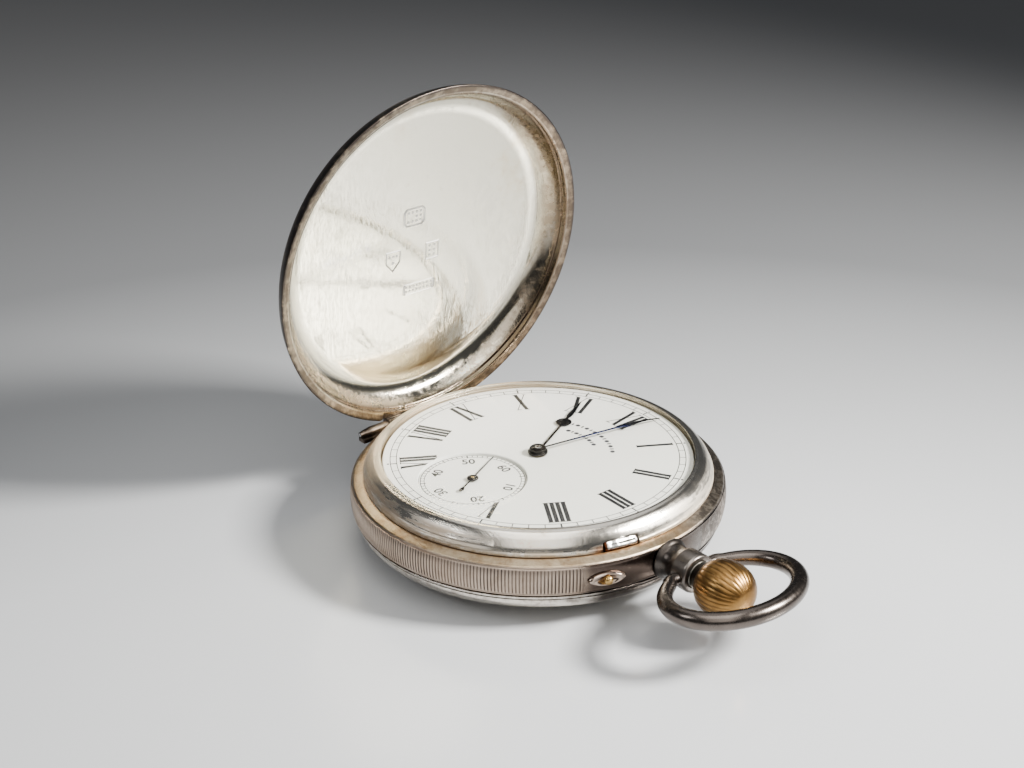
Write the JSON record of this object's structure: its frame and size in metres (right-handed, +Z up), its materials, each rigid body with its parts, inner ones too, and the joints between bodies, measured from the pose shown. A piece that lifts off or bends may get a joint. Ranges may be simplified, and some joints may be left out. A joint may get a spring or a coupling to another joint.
{
  "type": "pocket watch",
  "caption": "Silver full-hunter pocket watch lying on its back with its hinged front cover sprung open; crown wound, pin set, with an oval bow.",
  "frame": {"origin": "centre of the flat on the back where the watch rests, on the centre arbor's axis", "axes": "+Z up through the dial, away from the surface the watch lies on; +X towards the pendant, crown and bow (the dial's three); +Y towards the dial's twelve"},
  "size_m": [0.0746, 0.0518, 0.0597],
  "materials": {
    "silver": "polished sterling silver, lightly worn",
    "tarnished_silver": "dark tarnished silver",
    "polished_silver": "bright polished silver",
    "gilt_brass": "gilt brass, worn",
    "gilt_plate": "frosted gilding",
    "brass": "satin brass",
    "steel": "bright steel",
    "blued_steel": "blued steel",
    "dark_steel": "dark blued steel",
    "enamel": "white vitreous enamel, opaque",
    "glass": "clear glass",
    "ruby": "red jewel"
  },
  "bodies": {
    "case": {"case_band": "silver", "front_hinge_pin": "steel", "back_hinge_pin": "steel", "cuvette_hinge_pin": "steel", "glass_bezel": "polished_silver", "crystal": "glass", "pendant": "tarnished_silver", "pendant_sleeve": "steel", "fly_spring": "steel", "pusher_guard": "polished_silver", "dial": "enamel", "seconds_dial": "enamel", "main_plate": "gilt_plate", "top_plate": "gilt_plate", "pillar_screw_1": "blued_steel", "pillar_screw_2": "blued_steel", "pillar_screw_3": "blued_steel", "case_screw_1": "blued_steel", "case_screw_2": "blued_steel", "cock_screw": "blued_steel", "click_stud": "steel", "click_spring": "steel", "balance_cock": "gilt_plate", "endstone": "ruby", "minute_wheel_stud": "steel", "setting_spring": "steel"},
    "front_cover": {"front_cover": "silver"},
    "back_cover": {"back_cover": "silver"},
    "cuvette": {"cuvette": "silver"},
    "bow": {"bow": "tarnished_silver"},
    "push_collar": {"push_collar": "steel"},
    "crown": {"crown": "gilt_brass", "winding_stem": "steel"},
    "lid_catch": {"lid_catch": "steel"},
    "winding_pinion": {"winding_pinion": "steel"},
    "crown_wheel": {"crown_wheel": "steel"},
    "rocking_bar": {"rocking_bar": "steel"},
    "winding_idler": {"winding_idler": "steel"},
    "setting_idler": {"setting_idler": "steel"},
    "pusher": {"pin_set_pusher": "gilt_brass"},
    "ratchet": {"ratchet_wheel": "steel", "barrel_arbor": "steel"},
    "click": {"click": "steel"},
    "barrel": {"mainspring_barrel": "brass", "barrel_cover": "brass", "mainspring": "blued_steel"},
    "centre_wheel": {"centre_wheel": "brass"},
    "third_wheel": {"third_wheel": "brass"},
    "fourth_wheel": {"fourth_wheel": "brass", "seconds_hand": "dark_steel"},
    "escape_wheel": {"escape_wheel": "brass"},
    "pallet_fork": {"pallet_fork": "steel"},
    "balance": {"balance_wheel": "gilt_brass", "hairspring": "blued_steel"},
    "regulator": {"regulator": "steel"},
    "minute_hand": {"minute_hand": "blued_steel", "cannon_pinion": "steel"},
    "minute_wheel": {"minute_wheel": "brass"},
    "hour_hand": {"hour_hand": "dark_steel", "hour_wheel": "brass"}
  },
  "joints": [
    {"name": "front_cover_hinge", "type": "hinge", "parent": "case", "child": "front_cover", "pos_m": [-0.02503, 0, 0.00937], "axis": [0, 1, 0], "range_deg": [0, 82], "stiffness_Nm_per_rad": 0.00314, "springref_deg": -27.33},
    {"name": "back_cover_hinge", "type": "hinge", "parent": "case", "child": "back_cover", "pos_m": [-0.0251, 0, 0.0052], "axis": [0, 1, 0], "range_deg": [0, 95]},
    {"name": "cuvette_hinge", "type": "hinge", "parent": "case", "child": "cuvette", "pos_m": [-0.02345, 0, 0.0046], "axis": [0, 1, 0], "range_deg": [0, 86]},
    {"name": "bow_hinge", "type": "hinge", "parent": "case", "child": "bow", "pos_m": [0.03, 0, 0.00735], "axis": [0, 1, 0], "range_deg": [-85, 90]},
    {"name": "crown_push", "type": "slide", "parent": "case", "child": "push_collar", "axis": [-1, 0, 0], "range_m": [0, 0.0007], "stiffness_N_per_m": 2000, "springref_m": -0.0003},
    {"name": "crown_spin", "type": "hinge", "parent": "push_collar", "child": "crown", "pos_m": [0.036, 0, 0.00735], "axis": [1, 0, 0], "continuous": true},
    {"name": "lid_catch_slide", "type": "slide", "parent": "case", "child": "lid_catch", "axis": [-1, 0, 0], "range_m": [0, 0.0007]},
    {"name": "winding_pinion_spin", "type": "hinge", "parent": "case", "child": "winding_pinion", "pos_m": [0.0175, 0, 0.00735], "axis": [1, 0, 0], "continuous": true},
    {"name": "crown_wheel_spin", "type": "hinge", "parent": "case", "child": "crown_wheel", "pos_m": [0.0142, 0, 0.0096], "axis": [0, 0, 1], "continuous": true},
    {"name": "pin_set_push", "type": "slide", "parent": "case", "child": "pusher", "axis": [-0.9342, 0.3567, 0], "range_m": [0, 0.0006], "stiffness_N_per_m": 1000, "springref_m": -0.0003},
    {"name": "rocking_bar_pivot", "type": "hinge", "parent": "case", "child": "rocking_bar", "pos_m": [0.0142, 0, 0.01], "axis": [0, 0, 1], "range_deg": [-5, 0]},
    {"name": "winding_idler_spin", "type": "hinge", "parent": "rocking_bar", "child": "winding_idler", "pos_m": [0.0123, 0.00512, 0.0096], "axis": [0, 0, 1], "continuous": true},
    {"name": "setting_idler_spin", "type": "hinge", "parent": "rocking_bar", "child": "setting_idler", "pos_m": [0.00934, -0.00249, 0.0096], "axis": [0, 0, 1], "continuous": true},
    {"name": "ratchet_spin", "type": "hinge", "parent": "case", "child": "ratchet", "pos_m": [0.0063, 0.00751, 0.0096], "axis": [0, 0, 1], "continuous": true},
    {"name": "click_pivot", "type": "hinge", "parent": "case", "child": "click", "pos_m": [0.00084, 0.01066, 0.0096], "axis": [0, 0, -1], "range_deg": [0, 12], "stiffness_Nm_per_rad": 0.00002, "springref_deg": -5.73},
    {"name": "fourth_wheel_spin", "type": "hinge", "parent": "case", "child": "fourth_wheel", "pos_m": [-0.00033, -0.01115, 0.007], "axis": [0, 0, 1], "continuous": true},
    {"name": "third_wheel_spin", "type": "hinge", "parent": "case", "child": "third_wheel", "pos_m": [0.00311, -0.0066, 0.007], "axis": [0, 0, 1], "continuous": true},
    {"name": "centre_wheel_spin", "type": "hinge", "parent": "case", "child": "centre_wheel", "pos_m": [0, 0, 0.007], "axis": [0, 0, 1], "continuous": true},
    {"name": "escape_wheel_spin", "type": "hinge", "parent": "case", "child": "escape_wheel", "pos_m": [-0.00535, -0.0125, 0.0065], "axis": [0, 0, 1], "continuous": true},
    {"name": "barrel_spin", "type": "hinge", "parent": "case", "child": "barrel", "pos_m": [0.0063, 0.00751, 0.007], "axis": [0, 0, 1], "continuous": true},
    {"name": "hand_setting", "type": "hinge", "parent": "centre_wheel", "child": "minute_hand", "pos_m": [0, 0, 0.0115], "axis": [0, 0, 1], "continuous": true},
    {"name": "minute_wheel_spin", "type": "hinge", "parent": "case", "child": "minute_wheel", "pos_m": [0.00399, -0.00186, 0.0096], "axis": [0, 0, 1], "continuous": true},
    {"name": "hour_wheel_spin", "type": "hinge", "parent": "case", "child": "hour_hand", "pos_m": [0, 0, 0.0112], "axis": [0, 0, 1], "continuous": true},
    {"name": "balance_swing", "type": "hinge", "parent": "case", "child": "balance", "pos_m": [-0.0124, -0.003, 0.0045], "axis": [0, 0, 1], "range_deg": [-220, 220], "stiffness_Nm_per_rad": 0.0000005},
    {"name": "pallet_rock", "type": "hinge", "parent": "case", "child": "pallet_fork", "pos_m": [-0.00755, -0.00869, 0.0065], "axis": [0, 0, 1], "range_deg": [-4, 4]},
    {"name": "regulator_turn", "type": "hinge", "parent": "case", "child": "regulator", "pos_m": [-0.0124, -0.003, 0.00275], "axis": [0, 0, 1], "range_deg": [-15, 15]}
  ],
  "couplings": [
    {"joint": "cuvette_hinge", "follows": "back_cover_hinge", "ratio": 0.9},
    {"joint": "lid_catch_slide", "follows": "crown_push", "ratio": 1},
    {"joint": "winding_pinion_spin", "follows": "crown_spin", "ratio": 1},
    {"joint": "crown_wheel_spin", "follows": "crown_spin", "ratio": -0.5},
    {"joint": "winding_idler_spin", "follows": "crown_spin", "ratio": 1},
    {"joint": "setting_idler_spin", "follows": "crown_spin", "ratio": 1},
    {"joint": "ratchet_spin", "follows": "crown_spin", "ratio": -0.41667},
    {"joint": "rocking_bar_pivot", "follows": "pin_set_push", "rad_per_m": -145.44},
    {"joint": "third_wheel_spin", "follows": "fourth_wheel_spin", "ratio": -0.13333},
    {"joint": "centre_wheel_spin", "follows": "fourth_wheel_spin", "ratio": 0.016667},
    {"joint": "escape_wheel_spin", "follows": "fourth_wheel_spin", "ratio": -8},
    {"joint": "barrel_spin", "follows": "fourth_wheel_spin", "ratio": -0.0027778},
    {"joint": "minute_wheel_spin", "follows": "hand_setting", "ratio": -0.33333},
    {"joint": "hour_wheel_spin", "follows": "hand_setting", "ratio": 0.083333}
  ]
}
